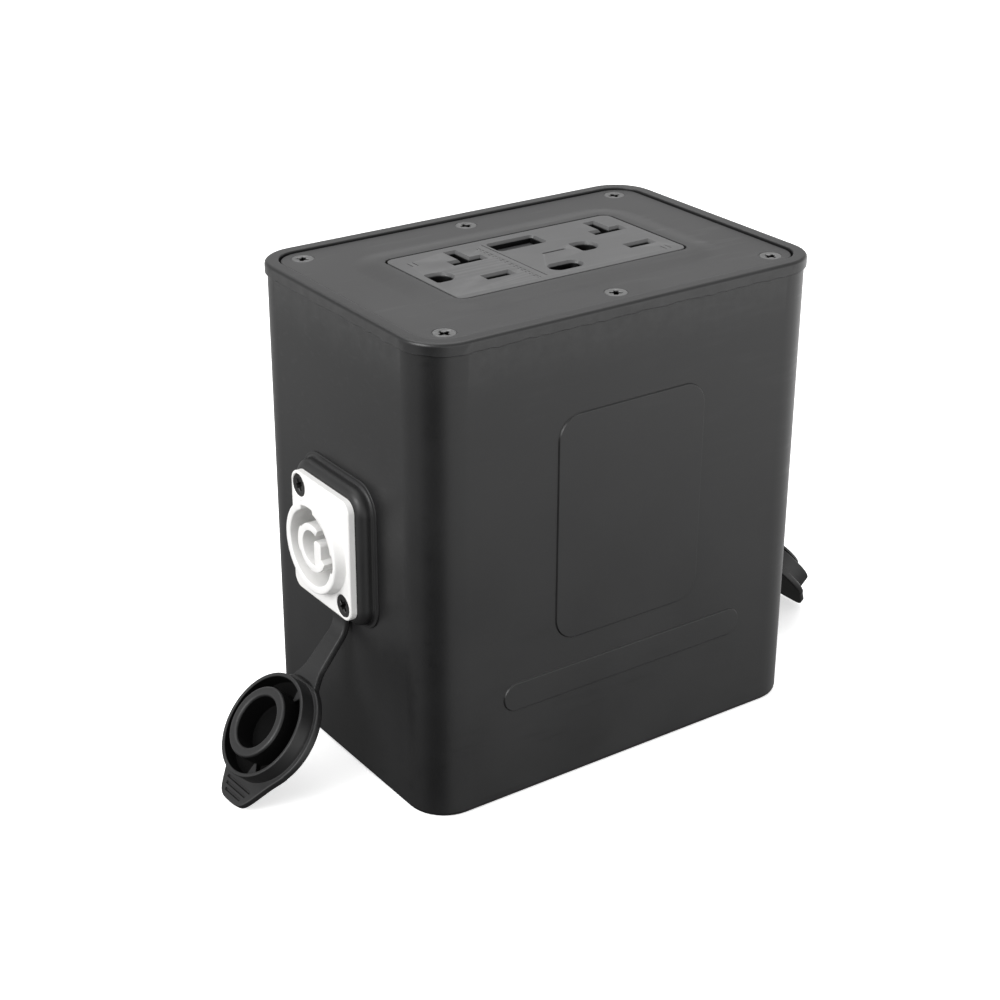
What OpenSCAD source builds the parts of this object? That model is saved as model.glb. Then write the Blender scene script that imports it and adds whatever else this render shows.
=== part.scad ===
// Portable power distribution box: a moulded tub with a screwed-down lid that carries a duplex
// mains receptacle with two charging sockets, a locking power outlet in one end wall and a
// locking power inlet in the other, each with a rubber dust cap on a strap.
// Millimetres, +Z up. Origin: centre of the flat underside. X runs from the outlet (-X) to the
// inlet (+X), and -Y is the face with the raised badge.

/* [Housing] */
// Length over the rim band
rim_l = 114; // [112:0.5:120]
// Depth over the rim band
rim_d = 77.8; // [76:0.2:84]
// Height to the top of the rim
body_h = 120; // [116:1:140]
// Radius of the upright corners at the rim
corner_r = 10.5; // [9:0.5:14]
// How far the rim band stands out from the walls
band_proud = 0.6; // [0.2:0.1:1]
// Height of the rim band
band_h = 3.2; // [2:0.2:5]
// Wall and floor thickness
wall = 3; // [2.5:0.1:3.5]
// Height of the raised badge and bar on the front face
relief = 0.4; // [0.2:0.1:0.5]

/* [Lid] */
// Width of the rim that shows around the lid
rim_w = 3.4; // [3:0.1:4]
// Gap between lid and rim, all round
lid_gap = 0.4; // [0.3:0.05:0.6]
// Thickness of the lid at its edge
lid_t = 3; // [2.5:0.1:4]
// How far the lid's edge lies below the rim top
lid_drop = 0.5; // [0.2:0.1:1]
// Height of the raised field around the receptacle
crown_h = 0.7; // [0.4:0.1:1]
// Distance of the outer lid screws from the centre, along X
lid_screw_x = 46.9; // [45:0.1:48]
// Distance of the lid screws from the centre, along Y
lid_screw_y = 30.5; // [29:0.1:31]

/* [Receptacle] */
// Length of the receptacle face
face_l = 66.6; // [66:0.1:67.5]
// Width of the receptacle face
face_w = 33; // [32.5:0.1:33.5]
// Distance between the two outlets
outlet_pitch = 41.8; // [41:0.1:42.5]
// Distance between the hot and the neutral slot
blade_pitch = 12.7; // [12.6:0.1:12.8]
// Thickness of a blade slot
slot_t = 2.4; // [2.2:0.1:2.8]
// How far a safety shutter slides
shutter_travel = 3.2; // [2.8:0.1:3.4]

/* [Side connectors] */
// Height of the connector centres above the underside
socket_z = 60; // [55:1:70]
// Width of a connector flange
flange_w = 26; // [26:0.5:27]
// Height of a connector flange
flange_h = 31; // [31:0.5:32]
// Thickness of the rubber gasket under a flange
gasket_t = 4; // [3.8:0.1:4.6]
// Thickness of a connector flange
flange_t = 1.8; // [1.8:0.1:2.4]
// How far the round collar stands out from the flange
collar_h = 2.9; // [2.4:0.1:3]
// Outer radius of the round collar
collar_r = 11.8; // [11.6:0.1:11.9]
// Radius of the socket bore
socket_r = 9.4; // [9.4:0.1:9.6]

/* [Dust caps] */
// Radius of a cap's plate
cap_r = 14.6; // [14:0.1:15]
// Thickness of plate, strap and pull tab
rubber_t = 1.8; // [1.6:0.1:2]
// Outer radius of the ring that fits over the collar
ring_r = 13.4; // [13.2:0.1:13.6]
// Height of that ring
ring_h = 4; // [3.6:0.1:4]
// Outer radius of the ring that plugs the socket
plug_r = 8.8; // [8.6:0.1:8.8]
// Height of the plug ring
plug_h = 6.5; // [6:0.1:6.6]
// Length of the strap between its first and last bend
strap_l = 15.6; // [15.4:0.1:15.8]
// Angle between the hanging strap and the wall
hang = 42.3; // [40:0.1:44]
// Sideways lean of the hanging strap on the outlet side
outlet_lean = 3.25; // [0:0.05:4]
// Sideways lean of the hanging strap on the inlet side
inlet_lean = -0.8; // [-4:0.05:0]

/* [Hidden] */
$fn = 48;
eps = 0.01;
wall_x = rim_l / 2 - band_proud;
wall_y = rim_d / 2 - band_proud;
inner_x = wall_x - wall;
inner_y = wall_y - wall;
lid_top = body_h - lid_drop;
lid_under = lid_top - lid_t;
seal_t = 1;
ledge_top = lid_under - seal_t;
ledge_t = 3;
ledge_open_x = 49;
ledge_open_y = 27;
boss_r = 4.2;
boss_h = 11;
m3_r = 1.5;
m3_hole_r = 1.7;
head_r = 2.7;
head_h = 1.5;
insert_r = 2.3;
insert_bore_r = 1.56;
insert_l = 6;
lid_screw_l = 9.6;
face_top = lid_top + crown_h;
face_gap = 0.3;
face_under = 115.9;
pocket_top = 117.9;
pocket_y = 15.1;
spring_y = 6.4;
spring_folds = 12;
yoke_t = 1;
yoke_l = 92;
yoke_w = 29;
yoke_hole_x = 41.65;
yoke_screw_r = 1.75;
body_top = face_under - yoke_t;
body_bottom = 84;
body_l = 66.4;
body_w = 31;
body_wall = 1.5;
outlet_x = [for (i = [0, 1]) -16.3 + i * outlet_pitch];
neutral_y = 5.7;
hot_y = neutral_y - blade_pitch;
ground_dx = -12;
ground_y = -1;
ground_r = 2.95;
bar_w = 8.7;
hot_w = 7;
leg_top = 13.2;
leg_w = 2.5;
usb_a = [0.8, 9.9];
usb_c = [0.1, -10.2];
usb_a_size = [12.5, 5.1];
usb_c_size = [9, 3.6];
board_top = 105;
board_t = 1.6;
strip_y = 13.2;
strip_t = 0.8;
strip_z = 92;
terminal_z = 95.5;
screw_x = 9.5;
screw_y = 12;
m3_nut_h = 2.4;
m3_nut_r = 3.1;
socket_floor = -14;
shell_end = -18;
core_r = 6.3;
core_bore_r = 4.3;
core_front = 8.2;
plug_bore_r = 6.8;
tab_end = -26;
front = gasket_t + flange_t;
root_u = -22.6;
root_o = 1.5;
bend_l = 7.5;
bead_r = 1.15;
hinge_gap = 0.3;
plate_y = -strap_l - cap_r + 0.6;
tab_l = 19.8;
lug_drop = 9;
lug_out = 2.4;
sleeve_end = -32;
side_lug_y = body_w / 2 + lug_out;
end_lug_x = -body_l / 2 - lug_out;
wire_r = 1.7;
wire_sides = 8;
wire_steps = 12;
blue = [0.12, 0.3, 0.7];
white = [0.93, 0.93, 0.92];

// ---- shared shapes -------------------------------------------------------------------------

module rounded_rect(w, d, r) {
    square([w - 2 * r, d], center = true);
    square([w, d - 2 * r], center = true);
    for (sx = [-1, 1], sy = [-1, 1])
        translate([sx * (w / 2 - r), sy * (d / 2 - r)])
            circle(r);
}

module slab(w, d, r, z0, z1) {
    translate([0, 0, z0])
        linear_extrude(z1 - z0)
            rounded_rect(w, d, r);
}

module rod(r, z0, z1) {
    translate([0, 0, z0])
        cylinder(r = r, h = z1 - z0);
}

module block(lo, hi) {
    translate(lo)
        cube(hi - lo);
}

module at_lid_screws() {
    for (x = [-1, 0, 1], y = [-1, 1])
        translate([x * lid_screw_x, y * lid_screw_y, 0])
            children();
}

// Flat-headed screw, head face at z = 0, shank downwards, with a cross recess.
module flat_screw(r, head, head_t, l) {
    difference() {
        union() {
            translate([0, 0, -head_t])
                cylinder(r1 = r, r2 = head, h = head_t);
            rod(r, -l, -head_t + eps);
        }
        for (a = [0, 90])
            rotate(a)
                block([-head * 0.6, -0.35, -head_t * 0.8], [head * 0.6, 0.35, 1]);
    }
}

// Countersunk clearance hole for flat_screw.
module flat_screw_hole(r, head, head_t, l) {
    translate([0, 0, -head_t - 0.05])
        cylinder(r1 = r, r2 = head + 0.1, h = head_t + 0.06);
    rod(r, -l, 0);
    rod(head + 0.1, 0, 2);
}

// ---- housing and lid -----------------------------------------------------------------------

// One-piece moulded tub: floor, four walls, rim band, inside ledge and six screw bosses.
module housing() {
    color([0.17, 0.17, 0.18])
        difference() {
            union() {
                slab(2 * wall_x, 2 * wall_y, corner_r - band_proud, 0, body_h);
                slab(rim_l, rim_d, corner_r, body_h - band_h, body_h);
                badge();
            }
            slab(2 * inner_x, 2 * inner_y, corner_r - band_proud - wall, wall, ledge_top - ledge_t);
            slab(2 * ledge_open_x, 2 * ledge_open_y, 5, ledge_top - ledge_t - 1, body_h + 1);
            slab(rim_l - 2 * rim_w, rim_d - 2 * rim_w, corner_r - rim_w, ledge_top, body_h + 1);
            at_lid_screws()
                rod(insert_r, ledge_top - insert_l, body_h);
            for (side = [0, 1])
                on_wall(side)
                    wall_cuts();
        }
    color([0.17, 0.17, 0.18])
        difference() {
            at_lid_screws()
                rod(boss_r, ledge_top - boss_h, ledge_top);
            at_lid_screws()
                rod(insert_r, ledge_top - insert_l, body_h);
            difference() {
                slab(rim_l + 9, rim_d + 9, 5, 0, body_h);
                slab(2 * inner_x + 1, 2 * inner_y + 1, 6, -1, body_h + 1);
            }
        }
}

// Plain raised panel and bar, moulded into the front face.
module badge() {
    translate([0, -wall_y + eps, 0])
        rotate([90, 0, 0]) {
            translate([0, 67.3, 0])
                slab(42.5, 57.5, 6, 0, relief + eps);
            translate([0, 27.6, 0])
                slab(72, 7.3, 3.6, 0, relief + eps);
        }
}

module wall_cuts() {
    rod(collar_r + 0.5, -wall - 1, 1);
    at_flange_screws()
        rod(m3_hole_r, -wall - 1, 1);
}

// Flat rubber seal between the ledge and the lid.
module lid_gasket() {
    color([0.08, 0.08, 0.08])
        difference() {
            slab(104.6, 68.4, 6, ledge_top, lid_under);
            slab(2 * ledge_open_x + 1, 2 * ledge_open_y + 1, 5, ledge_top - 1, lid_under + 1);
            at_lid_screws()
                rod(insert_r + 0.3, ledge_top - 1, lid_under + 1);
        }
    color([0.08, 0.08, 0.08])
        difference() {
            at_lid_screws()
                rod(boss_r - 0.2, ledge_top, lid_under);
            at_lid_screws()
                rod(insert_r + 0.3, ledge_top - 1, lid_under + 1);
            difference() {
                slab(rim_l, rim_d, 5, 0, body_h);
                slab(104, 68, 6, -1, body_h + 1);
            }
        }
}

// Brass threaded inserts, pressed into the six bosses.
module lid_inserts() {
    color([0.78, 0.62, 0.3])
        at_lid_screws()
            difference() {
                rod(insert_r, ledge_top - insert_l, ledge_top);
                rod(insert_bore_r, ledge_top - insert_l - 1, ledge_top + 1);
            }
}

// Lid plate with a raised field around the receptacle and two blind bosses underneath.
module lid() {
    color([0.33, 0.33, 0.34])
        difference() {
            union() {
                slab(rim_l - 2 * (rim_w + lid_gap), rim_d - 2 * (rim_w + lid_gap),
                    corner_r - rim_w - lid_gap, lid_under, lid_top);
                slab(face_l + 12, face_w + 12, 7, lid_top - 1, face_top);
                for (sx = [-1, 1])
                    translate([sx * yoke_hole_x, 0, 0])
                        rod(4, face_under, lid_under + 1);
            }
            slab(face_l + 2 * face_gap, face_w + 2 * face_gap, 2.8, lid_under - 2, body_h + 2);
            translate([0, 0, lid_top - 0.05])
                at_lid_screws()
                    flat_screw_hole(m3_hole_r, head_r, head_h, 6);
            for (sx = [-1, 1])
                translate([sx * yoke_hole_x, 0, 0])
                    rod(yoke_screw_r + 0.03, face_under - 1, face_under + 2.6);
        }
}

module lid_screws() {
    color([0.6, 0.6, 0.6])
        translate([0, 0, lid_top - 0.05])
            at_lid_screws()
                flat_screw(m3_r, head_r, head_h, lid_screw_l);
}

// ---- receptacle ----------------------------------------------------------------------------

// Slots of one outlet, seen from above: hot slot, T-shaped neutral slot and round earth hole
// with one flat side.
module outlet_slots(grow) {
    translate([0, hot_y])
        square([hot_w + grow, slot_t + grow], center = true);
    translate([0, neutral_y])
        square([bar_w + grow, slot_t + grow], center = true);
    translate([-(leg_w + grow) / 2, neutral_y])
        square([leg_w + grow, leg_top - neutral_y + grow / 2]);
}

module earth_hole(grow) {
    translate([ground_dx, ground_y])
        intersection() {
            circle(ground_r + grow);
            translate([-ground_r + 0.6 - grow, -5])
                square([10, 10]);
        }
}

// Moulded face with two outlets and openings for two charging sockets. A pocket behind each
// pair of slots holds its safety shutter.
module receptacle_face() {
    color([0.43, 0.43, 0.45])
        difference() {
            slab(face_l, face_w, 2.5, face_under, face_top);
            for (x = outlet_x)
                translate([x, 0, 0]) {
                    translate([0, 0, face_under - 1])
                        linear_extrude(6)
                            outlet_slots(0);
                    translate([0, 0, face_top - 0.6])
                        linear_extrude(2)
                            outlet_slots(1.1);
                    translate([0, 0, face_under - 1])
                        linear_extrude(6)
                            earth_hole(0);
                    translate([0, 0, face_top - 0.6])
                        linear_extrude(2)
                            earth_hole(0.6);
                    block([-6.4, -12.6, face_under - 1], [7.4, pocket_y, pocket_top]);
                }
            translate(usb_a)
                slab(usb_a_size[0] + 0.9, usb_a_size[1] + 0.9, 0.8, face_under - 1, face_top + 1);
            translate(usb_c)
                slab(usb_c_size[0] + 0.9, usb_c_size[1] + 0.9, 2.2, face_under - 1, face_top + 1);
        }
}

// Sliding shutter: a plate whose windows lie beside the slots until both blades press in.
module shutter(x) {
    color([0.7, 0.7, 0.72])
        translate([x, -shutter_travel, 0])
            difference() {
                union() {
                    block([-5.6, -8.6, face_under + 0.4], [5.6, 14.6, pocket_top - 0.2]);
                    block([5, spring_y - 1, face_under + 0.4], [7, spring_y, pocket_top - 0.2]);
                }
                translate([0, 0, face_under])
                    linear_extrude(3)
                        outlet_slots(0.4);
            }
}

// Zigzag leaf spring beside a shutter, between the shutter's lug and the pocket's end.
module shutter_spring(x) {
    y0 = spring_y - shutter_travel;
    pitch = (pocket_y - y0) / spring_folds;
    zig = [for (i = [0:spring_folds]) [x + (i % 2 == 0 ? 5.8 : 6.7), y0 + i * pitch]];
    zag = [for (i = [spring_folds:-1:0]) zig[i] + [0.3, 0]];
    color([0.75, 0.75, 0.78])
        translate([0, 0, face_under + 0.6])
            linear_extrude(1)
                polygon(concat(zig, zag));
}

// Steel mounting yoke behind the face, with a window for the sockets.
module receptacle_yoke() {
    color([0.72, 0.73, 0.75])
        difference() {
            slab(yoke_l, yoke_w, 3, body_top, face_under);
            slab(60, 27, 2, body_top - 1, face_under + 1);
            for (sx = [-1, 1])
                translate([sx * yoke_hole_x, 0, 0])
                    rod(yoke_screw_r + 0.2, body_top - 1, face_under + 1);
        }
}

module yoke_screws() {
    color([0.7, 0.7, 0.7])
        for (sx = [-1, 1])
            translate([sx * yoke_hole_x, 0, 0])
                difference() {
                    union() {
                        rod(3.2, body_top - 2, body_top);
                        rod(yoke_screw_r, body_top - 1, face_under + 2.4);
                    }
                    block([-2.4, -0.5, body_top - 3], [2.4, 0.5, body_top - 1.2]);
                }
}

// Insulating back body, open at the top, with two shelves for the charger board. The shelves
// are notched where the earth bus passes.
module receptacle_body() {
    color([0.12, 0.12, 0.13])
        difference() {
            slab(body_l, body_w, 2, body_bottom, body_top);
            slab(body_l - 2 * body_wall, body_w - 2 * body_wall, 1, body_bottom + 2, body_top + 1);
            at_terminals()
                rod(2.2, -3, 3);
        }
    color([0.12, 0.12, 0.13])
        difference() {
            for (sx = [-1, 1])
                block([sx * 8 - 0.8, -10, body_bottom + 1], [sx * 8 + 0.8, 10, board_top - board_t]);
            block([-10, ground_y - 2.8, strip_z - 3.3], [10, ground_y + 2.8, strip_z - 1.9]);
        }
}

// Two hot screws on -Y, two neutral screws on +Y; local +Z points out of the side wall.
module at_terminals() {
    for (sy = [-1, 1], sx = [-1, 1])
        translate([sx * 14, sy * body_w / 2, terminal_z])
            rotate([-sy * 90, 0, 0])
                children();
}

module terminal_screws() {
    color([0.75, 0.6, 0.3])
        at_terminals()
            difference() {
                union() {
                    rod(3.4, 1.9, 3.9);
                    rod(1.6, -1.4, 2);
                }
                block([-3, -0.4, 3], [3, 0.4, 5]);
            }
    color([0.2, 0.5, 0.25])
        translate([-body_l / 2, 0, terminal_z])
            rotate([0, -90, 0])
                difference() {
                    union() {
                        rod(3.4, 1.9, 3.9);
                        rod(1.6, 0, 2);
                    }
                    block([-3, -0.4, 3], [3, 0.4, 5]);
                }
}

// Brass bus along one side wall, with a pair of spring leaves under each blade slot.
module contact_bus(y, side, w) {
    color([0.8, 0.65, 0.32]) {
        y0 = side * strip_y - strip_t / 2;
        block([-22, y0, strip_z], [outlet_x[1] + 5, y0 + strip_t, strip_z + 7]);
        for (x = outlet_x) {
            lo = min(y - 1.4, y0);
            hi = max(y + 1.4, y0 + strip_t);
            block([x - w / 2, lo, strip_z], [x + w / 2, hi, strip_z + strip_t]);
            for (s = [-1, 1])
                block([x - w / 2, y + s - 0.3, strip_z], [x + w / 2, y + s + 0.3, body_top - 1]);
        }
    }
}

// Brass earth bus down the middle, with a split ring under each earth hole.
module ground_contact_bus() {
    z0 = strip_z - 3;
    color([0.8, 0.65, 0.32]) {
        block([-30.8, ground_y - 2.5, z0], [outlet_x[1] + ground_dx + 3, ground_y + 2.5, z0 + 0.8]);
        for (x = outlet_x)
            translate([x + ground_dx, ground_y, 0])
                difference() {
                    rod(3.1, z0 + 0.4, body_top - 1);
                    rod(2.5, z0 + 0.8, body_top);
                    block([-0.5, 0, z0 + 8], [0.5, 4, body_top]);
                }
    }
}

// Folded steel shell of the flat charging socket.
module usb_a_shell() {
    color([0.78, 0.78, 0.8])
        translate(usb_a)
            difference() {
                slab(usb_a_size[0] + 0.6, usb_a_size[1] + 0.6, 0.5, board_top, face_top - 0.6);
                slab(usb_a_size[0], usb_a_size[1], 0.3, board_top + 1, face_top + 1);
            }
}

module usb_a_tongue() {
    color([0.9, 0.9, 0.9])
        translate(usb_a)
            block([-5.6, 0.3, board_top + 1], [5.6, 2.2, face_top - 1.6]);
}

module usb_c_shell() {
    color([0.78, 0.78, 0.8])
        translate(usb_c)
            difference() {
                slab(usb_c_size[0] + 0.5, usb_c_size[1] + 0.5, 1.9, board_top, face_top - 0.6);
                slab(usb_c_size[0], usb_c_size[1], 1.7, board_top + 1, face_top + 1);
            }
}

module usb_c_tongue() {
    color([0.15, 0.15, 0.15])
        translate(usb_c)
            block([-3.3, -0.35, board_top + 1], [3.3, 0.35, face_top - 1.4]);
}

// Charger circuit board, flat on the shelves of the back body.
module usb_board() {
    color([0.1, 0.35, 0.18])
        block([-9, -12.6, board_top - board_t], [9.3, 12.6, board_top]);
}

// Transformer and two capacitors, soldered under the board.
module usb_board_parts() {
    z1 = board_top - board_t;
    color([0.15, 0.15, 0.16])
        block([-6.4, -5.5, z1 - 9], [6.4, 5.5, z1]);
    color([0.2, 0.25, 0.45])
        for (sy = [-1, 1])
            translate([0, sy * 8.6, 0])
                rod(2.4, z1 - 8, z1);
}

// ---- side connectors -----------------------------------------------------------------------

// Frame of a connector on a wall: local +Z points out of the box, local +Y is up.
module on_wall(side) {
    dir = side == 0 ? -1 : 1;
    translate([dir * wall_x, 0, socket_z])
        rotate([90, 0, dir * 90])
            children();
}

module at_flange_screws() {
    for (s = [-1, 1])
        translate([-s * screw_x, s * screw_y, 0])
            children();
}

// Frame of the hanging strap: origin on its first bend, the strap runs along -Y and the open
// side of the cap faces +Z.
module hanging(side) {
    on_wall(side)
        rotate([0, 0, side == 0 ? outlet_lean : inlet_lean])
            translate([0, root_u, root_o])
                rotate([-hang, 0, 0])
                    children();
}

// Rubber gasket frame under the flange, with a stub that ends in the strap's first bend.
module connector_gasket(side) {
    color([0.07, 0.07, 0.07])
        on_wall(side)
            difference() {
                union() {
                    slab(33, 38, 7, 0, 1);
                    slab(29.6, 34.6, 5.6, 0.5, gasket_t);
                    rotate([0, 0, side == 0 ? outlet_lean : inlet_lean]) {
                        block([-2.3, root_u, root_o - rubber_t / 2], [2.3, -17, root_o + rubber_t / 2]);
                        translate([0, root_u, root_o])
                            rotate([0, 90, 0])
                                rod(bead_r, -2.3, 2.3);
                    }
                }
                rod(collar_r + 0.3, -1, gasket_t + 1);
                at_flange_screws()
                    rod(m3_hole_r, -1, gasket_t + 1);
            }
}

// Moulded connector: square flange, round collar, socket and the barrel behind the wall.
module connector_shell(side, tint) {
    color(tint)
        on_wall(side)
            difference() {
                union() {
                    slab(flange_w, flange_h, 3, gasket_t, front);
                    rod(collar_r, shell_end, front + collar_h);
                }
                rod(socket_r, socket_floor, front + collar_h + 1);
                key_slots();
                translate([0, 0, front - 0.05])
                    at_flange_screws()
                        flat_screw_hole(m3_hole_r, 2.9, 1.6, 8);
                for (a = contact_angles())
                    rotate(a)
                        block([6.7, -2.4, shell_end - 1], [7.9, 2.4, socket_floor + 1]);
            }
}

function contact_angles() = [90, 210, 330];

// Two coding grooves in the wall of the socket, so that only its own plug goes in.
module key_slots() {
    rotate(97)
        block([socket_r - 1, -2.4, -8], [socket_r + 1, 2.4, front + collar_h + 1]);
    rotate(-3)
        block([socket_r - 1, -2.1, -8], [socket_r + 0.8, 2.1, front + collar_h + 1]);
}

// Keyed inner tube that stands in the socket: open on one side, with a rounded rib that rises
// beside the opening.
module connector_core(side, tint) {
    color(tint)
        on_wall(side) {
            difference() {
                rod(core_r, socket_floor, core_front);
                rod(core_bore_r, socket_floor + 2, core_front + 1);
                rotate(12)
                    block([3, -3.4, socket_floor + 2], [9, 3.4, core_front + 1]);
            }
            translate([1.75, -1.65, 0])
                slab(2.3, 5.9, 1.1, socket_floor + 1, core_front);
        }
}

// Three plated contacts along the socket wall, with flat tabs behind the barrel.
module connector_contacts(side) {
    color([0.75, 0.72, 0.66])
        on_wall(side)
            for (a = contact_angles())
                rotate(a)
                    block([6.8, -2.2, tab_end], [7.8, 2.2, -2]);
}

module connector_screws(side) {
    color([0.3, 0.3, 0.3])
        on_wall(side)
            translate([0, 0, front - 0.1])
                at_flange_screws()
                    flat_screw(m3_r, 2.8, 1.6, 14);
}

module connector_nuts(side) {
    color([0.7, 0.7, 0.7])
        on_wall(side)
            at_flange_screws()
                difference() {
                    translate([0, 0, -wall - m3_nut_h])
                        cylinder(r = m3_nut_r, h = m3_nut_h, $fn = 6);
                    rod(m3_r + 0.03, -wall - m3_nut_h - 1, 0);
                }
}

// One strap length in the hanging frame, from y0 down to y1: hollowed at its upper end around
// the bead of the piece above, and beaded at its lower end.
module strap_link(y0, y1, w0, w1) {
    translate([0, 0, -rubber_t / 2])
        difference() {
            linear_extrude(rubber_t)
                polygon([[-w0 / 2, y0], [w0 / 2, y0], [w1 / 2, y1], [-w1 / 2, y1]]);
            translate([-20, y0, rubber_t / 2])
                rotate([0, 90, 0])
                    rod(bead_r + hinge_gap, 0, 40);
        }
    translate([-w1 / 2, y1, 0])
        rotate([0, 90, 0])
            rod(bead_r, 0, w1);
}

module strap_upper(side) {
    color([0.09, 0.09, 0.09])
        hanging(side)
            strap_link(0, -bend_l, 4.6, 5.6);
}

module strap_lower(side) {
    color([0.09, 0.09, 0.09])
        hanging(side)
            strap_link(-bend_l, -strap_l, 5.6, 7.4);
}

// Dust cap: plate with strap neck and grooved pull tab, ring over the collar, plug ring for
// the socket and two webs between them.
module dust_cap(side) {
    color([0.09, 0.09, 0.09])
        hanging(side)
            difference() {
                union() {
                    translate([0, 0, -rubber_t / 2])
                        linear_extrude(rubber_t)
                            cap_outline();
                    translate([0, plate_y, 0]) {
                        difference() {
                            rod(ring_r, 0, rubber_t / 2 + ring_h);
                            rod(ring_r - 1, rubber_t / 2, 9);
                        }
                        difference() {
                            rod(plug_r, 0, rubber_t / 2 + plug_h);
                            rod(plug_bore_r, rubber_t / 2, 9);
                        }
                        for (a = [60, 240])
                            rotate(a)
                                block([plug_r - 0.4, -0.6, 0], [ring_r - 0.6, 0.6, 2.6]);
                    }
                }
                translate([-20, -strap_l, 0])
                    rotate([0, 90, 0])
                        rod(bead_r + hinge_gap, 0, 40);
                for (i = [0:2])
                    block([-7, plate_y - 15 - i * 1.7, rubber_t / 2 - 0.4],
                        [7, plate_y - 14.4 - i * 1.7, 2]);
            }
}

// Outline of plate, neck and tab: a disc, a neck that widens into it, and a tapered tab with
// rounded corners.
module cap_outline() {
    translate([0, plate_y])
        circle(cap_r);
    polygon([[-3.7, -strap_l], [3.7, -strap_l], [4.4, -strap_l - 2], [9.5, -strap_l - 5],
        [-9.5, -strap_l - 5], [-4.4, -strap_l - 2]]);
    translate([0, plate_y]) {
        polygon([[-12, -8.4], [-7.2, -15.5], [-6.6, -tab_l + 3], [6.6, -tab_l + 3], [7.2, -15.5],
            [12, -8.4]]);
        for (sx = [-1, 1])
            translate([sx * 3.6, -tab_l + 3])
                circle(3);
        translate([-3.6, -tab_l])
            square([7.2, 4]);
    }
}

// ---- internal wiring -----------------------------------------------------------------------

function bezier(p, t) = pow(1 - t, 3) * p[0] + 3 * t * pow(1 - t, 2) * p[1]
    + 3 * t * t * (1 - t) * p[2] + pow(t, 3) * p[3];

// Direction of the same curve.
function slope(p, t) =
    let (d = pow(1 - t, 2) * (p[1] - p[0]) + 2 * t * (1 - t) * (p[2] - p[1]) + t * t * (p[3] - p[2]))
    d / norm(d);

// Tube along a cubic curve: rings of points square to the curve, in one closed polyhedron.
module wire(p) {
    pts = [for (i = [0:wire_steps]) bezier(p, i / wire_steps)];
    dirs = [for (i = [0:wire_steps]) slope(p, i / wire_steps)];
    rings = [for (i = [0:wire_steps])
        let (side = cross(dirs[i], [0.31, 0.95, 0.05]), u = side / norm(side), v = cross(dirs[i], u))
        for (k = [0:wire_sides - 1])
            let (a = 360 * k / wire_sides) pts[i] + wire_r * (cos(a) * u + sin(a) * v)];
    sides = [for (i = [0:wire_steps - 1], k = [0:wire_sides - 1])
        let (n = (k + 1) % wire_sides, a = i * wire_sides)
        [a + k, a + wire_sides + k, a + wire_sides + n, a + n]];
    last = wire_steps * wire_sides;
    polyhedron(rings, concat([[for (k = [0:wire_sides - 1]) k]], sides,
        [[for (k = [wire_sides - 1:-1:0]) last + k]]), convexity = 4);
}

// Centre of the sleeve behind a connector's contact tab, in the box's frame.
function tab_point(side, angle, out) =
    let (dir = side == 0 ? -1 : 1)
    [dir * (wall_x + out), dir * 7.3 * cos(angle), socket_z + 7.3 * sin(angle)];

// Two wires of one conductor, from each connector's tab sleeve up into a terminal lug. Each
// comes to its lug from straight below; `drops` says how stiffly.
module wire_pair(angles, ends, drops, tint) {
    color(tint)
        for (side = [0, 1]) {
            a = tab_point(side, angles[side], sleeve_end + 0.6);
            in = [side == 0 ? 14 : -14, 0, 0];
            wire([a, a + in, ends[side] - [0, 0, drops[side]], ends[side]]);
        }
}

function lug_point(x, y) = [x, y, terminal_z - lug_drop + 0.4];
module hot_wires() {
    wire_pair([330, 210], [lug_point(-14, -side_lug_y), lug_point(14, -side_lug_y)],
        [16, 16], [0.1, 0.1, 0.1]);
}

module neutral_wires() {
    wire_pair([210, 330], [lug_point(-14, side_lug_y), lug_point(14, side_lug_y)],
        [16, 16], [0.9, 0.9, 0.9]);
}

module ground_wires() {
    wire_pair([90, 90], [lug_point(end_lug_x, -2.4), lug_point(end_lug_x, 2.4)],
        [12, 16], [0.15, 0.45, 0.2]);
}

// Ring of a crimped lug under a terminal screw: local +Z points out of the body's wall.
module lug_ring(w) {
    difference() {
        union() {
            rod(3.2, 0.3, 1.5);
            block([-w, -lug_drop + 4, 0.3], [w, 0, 1.5]);
        }
        rod(1.75, 0, 2);
    }
}

module lug_barrel() {
    translate([0, -lug_drop, lug_out])
        rotate([-90, 0, 0])
            difference() {
                rod(2.2, 0, 5);
                rod(wire_r + 0.05, -1, 3.2);
            }
}

// Ring lugs under the terminal screws, and push-on sleeves on the contact tabs.
module wire_terminals() {
    color([0.8, 0.78, 0.7]) {
        for (turn = [0, 180], x = [-14, 14])
            rotate(turn)
                translate([x, -body_w / 2, terminal_z])
                    rotate([90, 0, 0]) {
                        lug_ring(1.8);
                        lug_barrel();
                    }
        translate([-body_l / 2, 0, terminal_z])
            rotate([90, 0, -90]) {
                lug_ring(4);
                for (sx = [-1, 1])
                    translate([sx * 2.4, 0, 0])
                        lug_barrel();
            }
        for (side = [0, 1], a = contact_angles())
            on_wall(side)
                rotate(a)
                    tab_sleeve();
    }
}

module tab_sleeve() {
    difference() {
        union() {
            block([5.9, -2.9, tab_end - 0.5], [8.7, 2.9, tab_end + 6]);
            translate([7.3, 0, 0])
                rod(2.4, sleeve_end, tab_end - 0.4);
        }
        block([6.75, -2.25, tab_end - 0.2], [7.85, 2.25, tab_end + 7]);
        translate([7.3, 0, 0])
            rod(wire_r + 0.05, sleeve_end - 1, sleeve_end + 4);
    }
}

// ---- nodes ---------------------------------------------------------------------------------

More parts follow.
